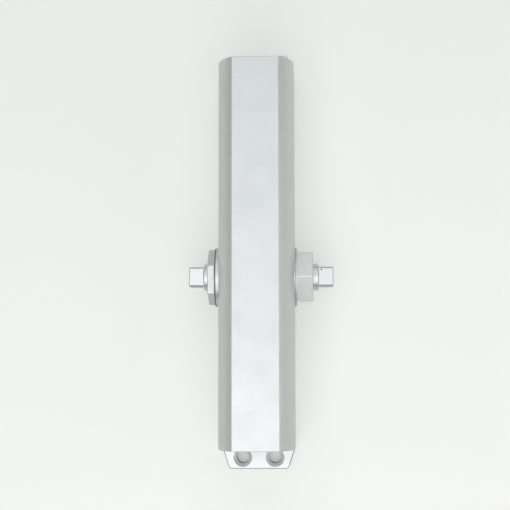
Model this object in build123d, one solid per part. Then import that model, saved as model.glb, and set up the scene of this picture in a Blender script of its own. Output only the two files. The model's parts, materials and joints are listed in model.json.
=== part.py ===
"""A rack-and-pinion hydraulic door closer, lying on its mounting face with its cover face up.

+X is across the body, along the spindle. +Y runs along the body, from the pressure end to the spring end.
+Z points from the mounting face to the cover face.
The origin is on the mounting face, under the spindle axis.
All sizes are millimetres.
"""

import os
from math import acos, asin, cos, pi, radians, sin, sqrt, tan

from build123d import *

# Housing: one aluminium casting with a flange at each end
body_length = 220.0
spindle_to_pressure_end = 97.5
body_width = 43.2
body_depth = 60.0
face_width = 26.6
cheek_radius = 21.5
face_edge_round = 1.5
end_edge_round = 0.45
axis_height = 28.0

flange_reach = 14.1
flange_thickness = 9.0
flange_shoulder = 1.5
flange_tip_width = 34.9
flange_corner_radius = 2.2
flange_edge_chamfer = 0.5
flange_edge_drop = 0.9
fixing_spacing = 19.0
fixing_hole_diameter = 7.0
fixing_hole_to_end = 7.5
countersink_diameter = 11.0
countersink_angle = radians(90)

boss_diameter = 34.2
left_boss_height = 1.9
right_boss_height = 0.5
boss_edge_round = 0.3

back_pocket_depth = 1.5
back_pocket_rim = 4.5
back_pocket_rib = 9.0
back_pocket_corner = 4.0

# Piston bore and the plugs that close its two ends
bore_diameter = 34.0
plug_step = 1.0
plug_length = 20.0
plug_recess = 1.0
plug_mouth_chamfer = 0.8
plug_edge_chamfer = 0.6
plug_socket_flats = 12.0
plug_socket_depth = 8.0
plug_ring_section = 2.2
plug_ring_inset = 4.0

# Pinion and rack
module = 2.0
tooth_count = 10
pressure_angle = radians(25)
addendum = 1.6
dedendum = 2.0
backlash = 0.2
opening_angle = radians(180)
pinion_passage = 1.4
pinion_end_gap = 0.1
window_clearance = 1.5

# Spindle ends
journal_diameter = 15.5
square_flats = 11.4
square_corner_diameter = 14.8
square_length = 8.3
square_end_chamfer = 0.5
shoulder_chamfer_length = 0.7
shoulder_chamfer_drop = 1.0
left_shoulder_length = 2.9
right_shoulder_length = 3.5
arm_screw_hole_diameter = 5.0
arm_screw_hole_depth = 14.0
index_dot_diameter = 0.9
index_dot_depth = 0.4
index_dot_from_shoulder = 1.4
index_dot_from_edge = 0.7

# Bearing caps, one thin and one thick, and what they hold
cap_hex_flats = 28.0
cap_hex_corner_round = 0.8
cap_hex_edge_chamfer = 0.4
cap_collar_diameter = 33.0
cap_collar_height = 0.45
left_cap_hex_height = 3.7
right_cap_hex_height = 9.1
left_cap_turn = 9.0
right_cap_turn = 32.5
cap_inner_gap = 0.2
cap_lip_thickness = 1.5
cap_lip_clearance = 0.4
gasket_diameter = 33.8
gasket_thickness = 0.5
needle_diameter = 2.0
needle_spacing = 0.05
shell_thickness = 0.85
shell_lip_thickness = 0.5
shell_lip_clearance = 0.35
seal_length = 3.5
seal_wall = 1.0
garter_section = 0.9
thrust_washer_thickness = 0.8
thrust_washer_width = 3.2

# Piston
pressure_head_length = 27.0
spring_head_length = 22.0
pressure_gap = 5.0
piston_waist = 0.6
piston_edge_chamfer = 0.5
spring_pocket_depth = 12.0
spring_pocket_wall = 1.8
spring_head_passage = 6.0

# Non-return and overpressure valves in the piston's pressure head
head_valve_offset = 7.0
check_ball_diameter = 6.0
check_passage_diameter = 4.0
check_chamber_diameter = 7.0
check_ball_lift = 1.0
check_retainer_diameter = 9.0
check_retainer_bore = 3.2
check_retainer_length = 2.5
relief_ball_diameter = 4.0
relief_passage_diameter = 2.4
relief_chamber_diameter = 5.2
relief_seat_diameter = 8.0
relief_seat_length = 6.0
relief_seat_slot_width = 1.2
relief_seat_slot_depth = 1.2
relief_spring_wire = 0.7
relief_spring_length = 9.0
relief_spring_turns = 7
head_valve_inset = 0.5

# Return spring
spring_wire = 4.5
spring_clearance = 0.35
spring_turns = 8
spring_closed_gap = 0.5
spring_seat_thickness = 2.0
spring_seat_bore = 12.0

# Regulating valves, side by side between the bore and the cover face, at the pressure end
valve_spacing = 15.0
valve_bore_diameter = 8.0
valve_bore_depth = 17.0
valve_recess = 3.0
valve_length = 12.0
valve_ring_section = 1.5
valve_ring_inset = 2.0
valve_slot_width = 1.2
valve_slot_depth = 1.6
valve_chamber_diameter = 5.0
valve_stem_diameter = 3.4
valve_tip_diameter = 1.2
valve_lift = 0.75
valve_seat_clearance = 0.2
oil_way_diameter = 2.8
oil_port_diameter = 2.5
port_to_seat = 4.0
sweep_port_cover = 9.5
clip_wire = 0.8
clip_inset = 0.9
clip_opening = 1.6

# Clearances
running_gap = 0.04
fit_gap = 0.02
seal_gap = 0.05
seat_gap = 0.05
thread_gap = 0.06

# Places along the body
pressure_end = -spindle_to_pressure_end
spring_end = body_length - spindle_to_pressure_end
body_middle = (pressure_end + spring_end) / 2
bore_radius = bore_diameter / 2
plug_radius = bore_radius + plug_step
pressure_plug_face = pressure_end + plug_recess + plug_length
spring_plug_face = spring_end - plug_recess - plug_length
half_width = body_width / 2

# Places across the body
pitch_radius = module * tooth_count / 2
tip_radius = pitch_radius + addendum
root_radius = pitch_radius - dedendum
base_radius = pitch_radius * cos(pressure_angle)
circular_pitch = pi * module
piston_travel = pitch_radius * opening_angle
cap_thread_radius = tip_radius + pinion_passage
cap_inner_end = bore_radius + cap_inner_gap
journal_radius = journal_diameter / 2
raceway_radius = journal_radius + needle_diameter
shell_radius = raceway_radius + shell_thickness
pinion_half_width = cap_inner_end - thrust_washer_thickness - 2 * pinion_end_gap

# Places along the piston, with the door closed
window_end_spring = tip_radius + window_clearance
window_end_pressure = -(piston_travel + tip_radius + window_clearance)
piston_spring_face = window_end_spring + spring_head_length
piston_pressure_face = window_end_pressure - pressure_head_length
piston_radius = bore_radius - running_gap
spring_pocket_floor = piston_spring_face - spring_pocket_depth
spring_pocket_radius = piston_radius - spring_pocket_wall
spring_seat_face = spring_plug_face - spring_seat_thickness


def turned_on_y(outline, x=0.0, z=axis_height):
    """A turned piece round an axis along Y. The outline's points are (radius, y)."""
    return Pos(x, 0, z) * revolve(make_face(Polyline(*outline, close=True)), Axis.Y)


def turned_on_x(outline):
    """A turned piece round the spindle axis. The outline's points are (x, radius)."""
    face = make_face(Plane.XZ * Polyline(*outline, close=True))
    return Pos(0, 0, axis_height) * revolve(face, Axis.X)


def rod_on_y(radius, y_from, y_to, x=0.0, z=axis_height):
    return turned_on_y([(0, y_from), (radius, y_from), (radius, y_to), (0, y_to)], x, z)


def rod_on_x(radius, x_from, x_to):
    return turned_on_x([(x_from, 0), (x_to, 0), (x_to, radius), (x_from, radius)])


def rod_on_z(radius, z_from, z_to, x, y):
    return Pos(x, y, z_from) * Cylinder(radius, z_to - z_from, align=(Align.CENTER, Align.CENTER, Align.MIN))


def tube_on_y(outer, inner, y_from, y_to, x=0.0, z=axis_height):
    return turned_on_y([(inner, y_from), (outer, y_from), (outer, y_to), (inner, y_to)], x, z)


def ring_on_y(section, middle_radius, y, x=0.0, z=axis_height):
    """A round-section ring whose axis is along Y."""
    return Pos(x, y, z) * Rot(90, 0, 0) * Torus(middle_radius, section / 2)


def ring_on_x(section, middle_radius, x):
    return Pos(x, 0, axis_height) * Rot(0, 90, 0) * Torus(middle_radius, section / 2)


def coil_points(radius, start, end, wire, turns, closed_pitch):
    """Points and directions each quarter turn of a spring with one closed turn at each end."""
    steps = 4 * turns
    inset = wire * 0.3
    middle_pitch = (end - start - 2 * inset - 2 * closed_pitch) / (turns - 2)

    def centre(step):
        turn = step / 4
        closed_start = min(turn, 1.0)
        closed_end = max(turn - (turns - 1), 0.0)
        closed = closed_start + closed_end
        rise = inset + closed_pitch * closed + middle_pitch * (turn - closed)
        angle = pi / 2 * step
        return Vector(radius * cos(angle), start + rise, radius * sin(angle))

    nodes = []
    for step in range(steps + 1):
        before, after = centre(max(step - 1, 0)), centre(min(step + 1, steps))
        rise = (after.Y - before.Y) / (min(step + 1, steps) - max(step - 1, 0)) * 2 / pi
        angle = pi / 2 * step
        nodes.append((centre(step), Vector(-radius * sin(angle), rise, radius * cos(angle)).normalized()))
    return nodes


def coil_spring(radius, start, end, wire, turns, closed_pitch, x=0.0, z=axis_height):
    """A compression spring along Y between two flat ends, swept on pairs of tangent arcs."""
    nodes = coil_points(radius, start, end, wire, turns, closed_pitch)
    path = []
    for (point, heading), (next_point, next_heading) in zip(nodes, nodes[1:]):
        chord, headings = next_point - point, heading + next_heading
        spread = 2 * (1 - heading.dot(next_heading))
        along = chord.dot(headings)
        reach = (sqrt(along**2 + spread * chord.dot(chord)) - along) / spread
        joint = (point + next_point + (heading - next_heading) * reach) / 2
        joint_heading = (next_point - next_heading * reach) - (point + heading * reach)
        path.append(TangentArc(point, joint, tangent=heading))
        path.append(TangentArc(joint, next_point, tangent=joint_heading))
    first_point, first_heading = nodes[0]
    section = Plane(origin=first_point, z_dir=first_heading) * Circle(wire / 2)
    coil = sweep(section, path=Wire(path))
    ground = 2 * radius + 2 * wire
    keep = Pos(0, (start + end) / 2, 0) * Box(ground, end - start, ground)
    return Pos(x, 0, z) * (coil & keep)


def cover_profile():
    """The cross-section: flat back, upright sides, rounded cheeks and the flat cover face."""
    cheek_centre = half_width - cheek_radius
    cheek_drop = sqrt(cheek_radius**2 - (face_width / 2 - cheek_centre) ** 2)
    side_top = body_depth - cheek_drop
    half_turn = asin(cheek_drop / cheek_radius) / 2
    middle_x = cheek_centre + cheek_radius * cos(half_turn)
    middle_z = side_top + cheek_radius * sin(half_turn)
    outline = [
        Line((-half_width, 0), (half_width, 0)),
        Line((half_width, 0), (half_width, side_top)),
        ThreePointArc((half_width, side_top), (middle_x, middle_z), (face_width / 2, body_depth)),
        Line((face_width / 2, body_depth), (-face_width / 2, body_depth)),
        ThreePointArc((-face_width / 2, body_depth), (-middle_x, middle_z), (-half_width, side_top)),
        Line((-half_width, side_top), (-half_width, 0)),
    ]
    return make_face(Plane.XZ * Wire(outline))


def housing_block():
    block = Pos(0, pressure_end, 0) * extrude(cover_profile(), body_length, dir=(0, 1, 0))
    long_edges = block.edges().filter_by(Axis.Y).sort_by(Axis.Z)[-2:]
    block = fillet(long_edges, face_edge_round)
    ends = block.faces().filter_by(Axis.Y)
    rims = [edge for face in ends for edge in face.edges() if edge.center().Z > flange_thickness]
    return fillet(rims, end_edge_round)


def flange_plate():
    """The base plate that runs under the body and stands out at both ends."""
    tip = flange_tip_width / 2
    reach, shoulder = body_length / 2 + flange_reach, body_length / 2 + flange_shoulder
    outline = [
        (-half_width, -shoulder),
        (-tip, -reach),
        (tip, -reach),
        (half_width, -shoulder),
        (half_width, shoulder),
        (tip, reach),
        (-tip, reach),
        (-half_width, shoulder),
    ]
    plate = Pos(0, body_middle, 0) * extrude(make_face(Polyline(*outline, close=True)), flange_thickness)
    corners = [edge for edge in plate.edges().filter_by(Axis.Z) if abs(edge.center().X) < half_width - 1]
    plate = fillet(corners, flange_corner_radius)
    top = plate.faces().sort_by(Axis.Z)[-1]
    return chamfer(top.edges(), flange_edge_chamfer, flange_edge_drop, reference=top)


def fixing_holes():
    """Four screw holes, each with a countersink for its screw's head."""
    holes = []
    radius, overrun = fixing_hole_diameter / 2, 1.0
    slope = tan(countersink_angle / 2)
    depth = (countersink_diameter / 2 - radius) / slope
    mouth = countersink_diameter / 2 + overrun * slope
    countersink = Cone(radius, mouth, depth + overrun, align=(Align.CENTER, Align.CENTER, Align.MIN))
    for end, outward in ((pressure_end, -1), (spring_end, 1)):
        for x in (-fixing_spacing / 2, fixing_spacing / 2):
            y = end + outward * fixing_hole_to_end
            holes.append(rod_on_z(radius, -overrun, flange_thickness + overrun, x, y))
            holes.append(Pos(x, y, flange_thickness - depth) * countersink)
    return holes


def back_pockets():
    """Two shallow cast pockets in the mounting face, with a rib between them under the spindle."""
    width = body_width - 2 * back_pocket_rim
    pockets = []
    low, high = pressure_end + back_pocket_rim, spring_end - back_pocket_rim
    for start, end in ((low, -back_pocket_rib / 2), (back_pocket_rib / 2, high)):
        outline = RectangleRounded(width, end - start, back_pocket_corner)
        pockets.append(Pos(0, (start + end) / 2, 0) * extrude(outline, back_pocket_depth))
    return pockets


def plug_seat(end, face):
    """The wider bore for an end plug, with its mouth chamfer."""
    outward = 1 if end > face else -1
    mouth = plug_radius + plug_mouth_chamfer
    outline = [
        (0, face),
        (plug_radius, face),
        (plug_radius, end - outward * plug_mouth_chamfer),
        (mouth, end),
        (mouth, end + outward),
        (0, end + outward),
    ]
    return turned_on_y(outline)


# The latch valve's port stays open to the pressure chamber.
# The piston covers the sweep valve's port near closing.
latch_port = piston_pressure_face - pressure_gap / 2
sweep_port = piston_pressure_face + sweep_port_cover
latch_seat = latch_port + port_to_seat
sweep_seat = sweep_port + port_to_seat
valve_head = pressure_end + valve_recess
valve_inner_end = valve_head + valve_length
valve_height = (axis_height + plug_radius + body_depth) / 2
valve_places = {
    "sweep": (-valve_spacing / 2, sweep_port, sweep_seat),
    "latch": (valve_spacing / 2, latch_port, latch_seat),
}


def oil_ways():
    """A stepped bore for each regulating valve, its inlet port and its return to the spindle chamber."""
    cuts = []
    clip_groove_radius = valve_bore_diameter / 2 + clip_wire / 2
    for x, port, seat in valve_places.values():
        bore_end = pressure_end + valve_bore_depth
        cuts += [
            rod_on_y(valve_bore_diameter / 2, pressure_end - 1, bore_end, x, valve_height),
            rod_on_y(valve_chamber_diameter / 2, bore_end, seat, x, valve_height),
            rod_on_y(oil_way_diameter / 2, seat, 0, x, valve_height),
            rod_on_z(oil_port_diameter / 2, axis_height, valve_height, x, port),
            rod_on_z(oil_port_diameter / 2, axis_height, valve_height, x, 0),
            tube_on_y(
                clip_groove_radius,
                0,
                pressure_end + clip_inset - seal_gap,
                pressure_end + clip_inset + clip_wire + seal_gap,
                x,
                valve_height,
            ),
        ]
    return cuts


def make_housing():
    casting = housing_block() + flange_plate()
    for side, height in ((-1, left_boss_height), (1, right_boss_height)):
        boss = rod_on_x(boss_diameter / 2, 0, side * (half_width + height))
        rim = boss.edges().sort_by(Axis.X)[0 if side < 0 else -1]
        casting += fillet(rim, boss_edge_round)
    casting -= rod_on_y(bore_radius, pressure_plug_face, spring_plug_face)
    casting -= plug_seat(pressure_end, pressure_plug_face)
    casting -= plug_seat(spring_end, spring_plug_face)
    reach = half_width + left_boss_height + right_boss_height
    casting -= rod_on_x(cap_thread_radius, -reach, reach)
    for cut in fixing_holes() + back_pockets() + oil_ways():
        casting -= cut
    return casting


def make_end_plug(end, face):
    """A threaded plug with a ring groove near its inner face and a hexagon socket in its outer face."""
    inward = 1 if face > end else -1
    outer = end + inward * plug_recess
    radius = plug_radius - thread_gap
    groove_floor = plug_radius - plug_ring_section - seal_gap
    groove_near = face - inward * (plug_ring_inset - plug_ring_section / 2 - seal_gap)
    groove_far = face - inward * (plug_ring_inset + plug_ring_section / 2 + seal_gap)
    plug = turned_on_y(
        [
            (0, outer),
            (radius - plug_edge_chamfer, outer),
            (radius, outer + inward * plug_edge_chamfer),
            (radius, groove_far),
            (groove_floor, groove_far),
            (groove_floor, groove_near),
            (radius, groove_near),
            (radius, face),
            (0, face),
        ]
    )
    hexagon = RegularPolygon(plug_socket_flats / 2, 6, major_radius=False)
    socket = extrude(Plane(origin=(0, outer, axis_height), z_dir=(0, inward, 0)) * hexagon, plug_socket_depth)
    return plug - socket


def make_plug_ring(end, face):
    inward = 1 if face > end else -1
    middle = plug_radius - plug_ring_section / 2 - seal_gap / 2
    return ring_on_y(plug_ring_section - seal_gap, middle, face - inward * plug_ring_inset)


def cap_places(side):
    """The places along X of a bearing cap: boss face, collar's inner and outer face, hexagon's outer face."""
    boss = half_width + (left_boss_height if side < 0 else right_boss_height)
    collar = boss + gasket_thickness
    hexagon = collar + cap_collar_height
    outer = hexagon + (left_cap_hex_height if side < 0 else right_cap_hex_height)
    return boss, collar, hexagon, outer


def make_bearing_cap(side):
    """A hexagon-headed cap screwed into the housing's side, holding the needle bearing and the shaft seal."""
    _, collar, hexagon, outer = cap_places(side)
    turn = left_cap_turn if side < 0 else right_cap_turn
    head = RegularPolygon(cap_hex_flats / 2, 6, major_radius=False, rotation=side * turn)
    head = fillet(head.vertices(), cap_hex_corner_round)
    seat = Plane(origin=(side * hexagon, 0, axis_height), x_dir=(0, 1, 0), z_dir=(side, 0, 0))
    head = extrude(seat * head, outer - hexagon)
    outer_face = head.faces().sort_by(Axis.X)[0 if side < 0 else -1]
    head = chamfer(outer_face.edges(), cap_hex_edge_chamfer)
    thread = cap_thread_radius - thread_gap
    shank = turned_on_x(
        [
            (side * cap_inner_end, 0),
            (side * cap_inner_end, thread),
            (side * collar, thread),
            (side * collar, cap_collar_diameter / 2),
            (side * hexagon, cap_collar_diameter / 2),
            (side * hexagon, 0),
        ]
    )
    pocket = rod_on_x(shell_radius + fit_gap, 0, side * (outer - cap_lip_thickness))
    hole = rod_on_x(journal_radius + cap_lip_clearance, 0, side * (outer + 1))
    return shank + head - pocket - hole


def make_gasket(side):
    boss, collar, _, _ = cap_places(side)
    inner = cap_thread_radius + seal_gap
    outline = [(boss, inner), (collar, inner), (collar, gasket_diameter / 2), (boss, gasket_diameter / 2)]
    return turned_on_x([(side * x, radius) for x, radius in outline])


def bearing_places(side):
    """The places along X of the bearing's inner end, of its face to the seal, and of the seal's outer end."""
    _, _, _, outer = cap_places(side)
    seal_outer = outer - cap_lip_thickness - fit_gap
    seal_inner = seal_outer - seal_length
    return cap_inner_end, seal_inner, seal_outer


def make_bearing_shell(side):
    inner, outer, _ = bearing_places(side)
    lip = journal_radius + shell_lip_clearance
    outline = [
        (inner, lip),
        (inner, shell_radius),
        (outer - fit_gap, shell_radius),
        (outer - fit_gap, lip),
        (outer - fit_gap - shell_lip_thickness, lip),
        (outer - fit_gap - shell_lip_thickness, raceway_radius),
        (inner + shell_lip_thickness, raceway_radius),
        (inner + shell_lip_thickness, lip),
    ]
    return turned_on_x([(side * x, radius) for x, radius in outline])


def make_needle_rollers(side):
    """A full row of needles, each a separate solid, between the journal and the shell."""
    inner, outer, _ = bearing_places(side)
    start = inner + shell_lip_thickness + seat_gap
    end = outer - fit_gap - shell_lip_thickness - seat_gap
    row_radius = journal_radius + needle_diameter / 2
    count = int(pi / asin((needle_diameter + needle_spacing) / 2 / row_radius))
    needles = []
    for index in range(count):
        angle = 2 * pi * index / count
        needle = rod_on_x(needle_diameter / 2 - fit_gap, side * start, side * end)
        needles.append(Pos(0, row_radius * cos(angle), row_radius * sin(angle)) * needle)
    return Compound(children=needles)


def make_shaft_seal(side):
    """A lip seal: an outer wall against the cap, a web at the outer end, and a lip on the journal."""
    _, inner, outer = bearing_places(side)
    lip = journal_radius + seal_gap
    garter_room = lip + seal_wall
    outline = [
        (outer, lip + seal_wall / 2),
        (outer, shell_radius),
        (inner, shell_radius),
        (inner, shell_radius - seal_wall / 2),
        (outer - seal_wall, shell_radius - seal_wall / 2),
        (outer - seal_wall, garter_room),
        (inner + garter_section, garter_room),
        (inner, garter_room - seal_wall / 2),
        (inner + garter_section, lip),
    ]
    return turned_on_x([(side * x, radius) for x, radius in outline])


def make_garter_spring(side):
    """The small ring spring that holds the seal's lip to the journal."""
    _, inner, outer = bearing_places(side)
    lip = journal_radius + seal_gap
    middle = lip + seal_wall + garter_section / 2 + seat_gap
    return ring_on_x(garter_section, middle, side * ((inner + outer - seal_wall + garter_section) / 2))


def make_thrust_washer(side):
    start = pinion_half_width + pinion_end_gap
    inner = journal_radius + seal_gap
    outline = [
        (start, inner),
        (start + thrust_washer_thickness, inner),
        (start + thrust_washer_thickness, inner + thrust_washer_width),
        (start, inner + thrust_washer_width),
    ]
    return turned_on_x([(side * x, radius) for x, radius in outline])


def involute_angle(radius):
    """Half a tooth's width as an angle, at a radius on its flank."""
    at_pitch = (circular_pitch - backlash) / 4 / pitch_radius + tan(pressure_angle) - pressure_angle
    roll = acos(base_radius / radius)
    return at_pitch - (tan(roll) - roll)


def pinion_tooth():
    """One tooth with involute flanks, pointing down at the rack."""
    flank = []
    points_on_flank = 5
    for index in range(points_on_flank):
        radius = base_radius + (tip_radius - base_radius) * index / (points_on_flank - 1)
        half = involute_angle(radius)
        flank.append((radius * sin(half), -radius * cos(half)))
    mirrored = [(-y, z) for y, z in flank]
    root_half = involute_angle(base_radius)
    inside = root_radius * 0.8
    foot = (inside * sin(root_half), -inside * cos(root_half))
    mirrored_foot = (-foot[0], foot[1])
    outline = [
        Line(foot, flank[0]),
        Spline(*flank),
        ThreePointArc(flank[-1], (0, -tip_radius), mirrored[-1]),
        Spline(*reversed(mirrored)),
        Line(mirrored[0], mirrored_foot),
        Line(mirrored_foot, foot),
    ]
    face = make_face(Plane.YZ * Wire(outline))
    return Pos(-pinion_half_width, 0, axis_height) * extrude(face, 2 * pinion_half_width, dir=(1, 0, 0))


def spindle_end(side):
    """A round journal, a chamfered shoulder and a square with round corners and a tapped hole."""
    _, _, _, cap_outer = cap_places(side)
    shoulder = cap_outer + (left_shoulder_length if side < 0 else right_shoulder_length)
    tip = shoulder + square_length
    corner = square_corner_diameter / 2
    journal = turned_on_x(
        [
            (0, 0),
            (0, journal_radius),
            (side * (shoulder - shoulder_chamfer_length), journal_radius),
            (side * shoulder, journal_radius - shoulder_chamfer_drop),
            (side * shoulder, 0),
        ]
    )
    blank = turned_on_x(
        [
            (0, 0),
            (0, corner),
            (side * (tip - square_end_chamfer), corner),
            (side * tip, corner - square_end_chamfer),
            (side * tip, 0),
        ]
    )
    square = Pos(side * tip / 2, 0, axis_height) * Box(abs(tip), square_flats, square_flats)
    square = chamfer(square.faces().sort_by(Axis.X)[0 if side < 0 else -1].edges(), square_end_chamfer)
    hole = rod_on_x(arm_screw_hole_diameter / 2, side * (tip - arm_screw_hole_depth), side * (tip + 1))
    return journal + (blank & square) - hole


def make_pinion_shaft():
    shaft = rod_on_x(root_radius, -pinion_half_width, pinion_half_width)
    tooth = pinion_tooth()
    for index in range(tooth_count):
        turn = Pos(0, 0, axis_height) * Rot(360 / tooth_count * index, 0, 0) * Pos(0, 0, -axis_height)
        shaft += turn * tooth
    shaft += spindle_end(-1)
    shaft += spindle_end(1)
    shoulder = cap_places(1)[3] + right_shoulder_length
    dot_x = shoulder + index_dot_from_shoulder
    flat_half = sqrt((square_corner_diameter / 2) ** 2 - (square_flats / 2) ** 2)
    dot_y = flat_half - index_dot_from_edge
    flat = axis_height + square_flats / 2
    dot = Pos(dot_x, dot_y, flat) * Cone(0, index_dot_diameter, 2 * index_dot_depth)
    return shaft - dot


def rack_spaces():
    """The spaces between the rack's teeth, cut into the lower wall of the piston's window."""
    mesh_reach = sqrt(tip_radius**2 - (pitch_radius - addendum) ** 2)
    first = -int((piston_travel + mesh_reach) / circular_pitch)
    last = int(mesh_reach / circular_pitch)
    half = (circular_pitch + backlash) / 4
    top, bottom = addendum + window_clearance, dedendum
    spaces = []
    for index in range(first, last + 1):
        middle = index * circular_pitch
        wide, narrow = half + top * tan(pressure_angle), half - bottom * tan(pressure_angle)
        outline = [(-wide, top), (wide, top), (narrow, -bottom), (-narrow, -bottom)]
        face = make_face(Plane.YZ * Polyline(*outline, close=True))
        place = Pos(-bore_radius, middle, axis_height - pitch_radius)
        spaces.append(place * extrude(face, 2 * bore_radius, dir=(1, 0, 0)))
    return spaces


def make_piston():
    """A piston with two heads, a window for the pinion, the rack in the window and a pocket for the spring."""
    waist = piston_radius - piston_waist
    piston = turned_on_y(
        [
            (0, piston_pressure_face),
            (piston_radius - piston_edge_chamfer, piston_pressure_face),
            (piston_radius, piston_pressure_face + piston_edge_chamfer),
            (piston_radius, window_end_pressure),
            (waist, window_end_pressure + piston_waist),
            (waist, window_end_spring - piston_waist),
            (piston_radius, window_end_spring),
            (piston_radius, piston_spring_face - piston_edge_chamfer),
            (piston_radius - piston_edge_chamfer, piston_spring_face),
            (0, piston_spring_face),
        ]
    )
    window_top = tip_radius + window_clearance
    window_floor = pitch_radius - addendum
    window_length = window_end_spring - window_end_pressure
    window = Box(2 * bore_radius, window_length, window_top + window_floor)
    window_middle = (window_end_spring + window_end_pressure) / 2
    piston -= Pos(0, window_middle, axis_height + (window_top - window_floor) / 2) * window
    for space in rack_spaces():
        piston -= space
    piston -= rod_on_y(spring_pocket_radius, spring_pocket_floor, piston_spring_face + 1)
    piston -= rod_on_y(spring_head_passage / 2, window_end_spring - 1, spring_pocket_floor + 1)
    for cut in check_valve_bores() + relief_valve_bores():
        piston -= cut
    return piston


# The check valve lies above the piston's axis and the relief valve below it.
check_height = axis_height + head_valve_offset
relief_height = axis_height - head_valve_offset
valve_face = piston_pressure_face + head_valve_inset
check_retainer_inner = valve_face + check_retainer_length
check_ball_radius = check_ball_diameter / 2
check_seat_standoff = sqrt(check_ball_radius**2 - (check_passage_diameter / 2) ** 2)
check_ball_middle = check_retainer_inner + seat_gap + check_ball_lift + check_ball_radius
check_seat = check_ball_middle + check_seat_standoff + seat_gap

relief_seat_inner = valve_face + relief_seat_length
relief_ball_radius = relief_ball_diameter / 2
relief_seat_standoff = sqrt(relief_ball_radius**2 - (relief_passage_diameter / 2) ** 2)
relief_ball_middle = relief_seat_inner + relief_seat_standoff + seat_gap
relief_spring_start = relief_ball_middle + relief_ball_radius + seat_gap
relief_spring_end = relief_spring_start + relief_spring_length


def check_valve_bores():
    mouth = piston_pressure_face - 1
    return [
        rod_on_y(check_retainer_diameter / 2, mouth, check_retainer_inner, 0, check_height),
        rod_on_y(check_chamber_diameter / 2, check_retainer_inner, check_seat, 0, check_height),
        rod_on_y(check_passage_diameter / 2, check_seat, window_end_pressure + 1, 0, check_height),
    ]


def relief_valve_bores():
    mouth = piston_pressure_face - 1
    return [
        rod_on_y(relief_seat_diameter / 2, mouth, relief_seat_inner, 0, relief_height),
        rod_on_y(relief_chamber_diameter / 2, relief_seat_inner, relief_spring_end, 0, relief_height),
        rod_on_y(relief_passage_diameter / 2, relief_spring_end, window_end_pressure + 1, 0, relief_height),
    ]


def make_check_ball():
    return Pos(0, check_ball_middle, check_height) * Sphere(check_ball_radius)


def make_check_retainer():
    """A pressed ring that keeps the ball in its chamber."""
    outer = check_retainer_diameter / 2 - fit_gap
    return tube_on_y(outer, check_retainer_bore / 2, valve_face, check_retainer_inner, 0, check_height)


def make_relief_ball():
    return Pos(0, relief_ball_middle, relief_height) * Sphere(relief_ball_radius)


def make_relief_seat():
    """A hollow screw whose inner end is the ball's seat, with a screwdriver slot in its outer end."""
    outer = relief_seat_diameter / 2 - thread_gap
    seat = tube_on_y(outer, relief_passage_diameter / 2, valve_face, relief_seat_inner, 0, relief_height)
    slot = Box(relief_seat_diameter, 2 * relief_seat_slot_depth, relief_seat_slot_width)
    return seat - Pos(0, valve_face, relief_height) * slot


def make_relief_spring():
    coil_radius = relief_chamber_diameter / 2 - relief_spring_wire / 2 - seal_gap
    closed_pitch = relief_spring_wire + seal_gap
    return coil_spring(
        coil_radius,
        relief_spring_start,
        relief_spring_end - seat_gap,
        relief_spring_wire,
        relief_spring_turns,
        closed_pitch,
        z=relief_height,
    )


def make_return_spring():
    coil_radius = spring_pocket_radius - spring_clearance - spring_wire / 2
    closed_pitch = spring_wire + spring_closed_gap
    start = spring_pocket_floor + seat_gap
    return coil_spring(coil_radius, start, spring_seat_face, spring_wire, spring_turns, closed_pitch)


def make_spring_seat():
    return tube_on_y(bore_radius - 2 * fit_gap, spring_seat_bore / 2, spring_seat_face, spring_plug_face)


def make_valve_screw(name):
    """A regulating screw: slotted head, ring groove, and a stem with a tapered tip at its seat."""
    x, _, seat = valve_places[name]
    radius = valve_bore_diameter / 2 - thread_gap
    groove_floor = valve_bore_diameter / 2 - valve_ring_section - seal_gap
    groove_near = valve_inner_end - valve_ring_inset + valve_ring_section / 2 + seal_gap
    groove_far = valve_inner_end - valve_ring_inset - valve_ring_section / 2 - seal_gap
    stem = valve_stem_diameter / 2
    tip_end = seat - valve_lift - valve_seat_clearance
    taper = valve_stem_diameter - valve_tip_diameter
    screw = turned_on_y(
        [
            (0, valve_head),
            (radius, valve_head),
            (radius, groove_far),
            (groove_floor, groove_far),
            (groove_floor, groove_near),
            (radius, groove_near),
            (radius, valve_inner_end),
            (stem, valve_inner_end),
            (stem, tip_end - taper),
            (valve_tip_diameter / 2, tip_end),
            (0, tip_end),
        ],
        x,
        valve_height,
    )
    slot = Box(valve_bore_diameter, 2 * valve_slot_depth, valve_slot_width)
    return screw - Pos(x, valve_head, valve_height) * slot


def make_valve_ring(name):
    x, _, _ = valve_places[name]
    middle = valve_bore_diameter / 2 - valve_ring_section / 2 - seal_gap / 2
    y = valve_inner_end - valve_ring_inset
    return ring_on_y(valve_ring_section - seal_gap, middle, y, x, valve_height)


def make_valve_clips():
    """The open wire rings that keep the regulating screws from being turned right out."""
    clips = []
    for x, _, _ in valve_places.values():
        y = pressure_end + clip_inset + clip_wire / 2
        ring = ring_on_y(clip_wire - seal_gap, valve_bore_diameter / 2, y, x, valve_height)
        opening = Box(clip_opening, 4 * clip_wire, 4 * clip_wire)
        clips.append(ring - Pos(x, y, valve_height + valve_bore_diameter / 2) * opening)
    return Compound(children=clips)


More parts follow.
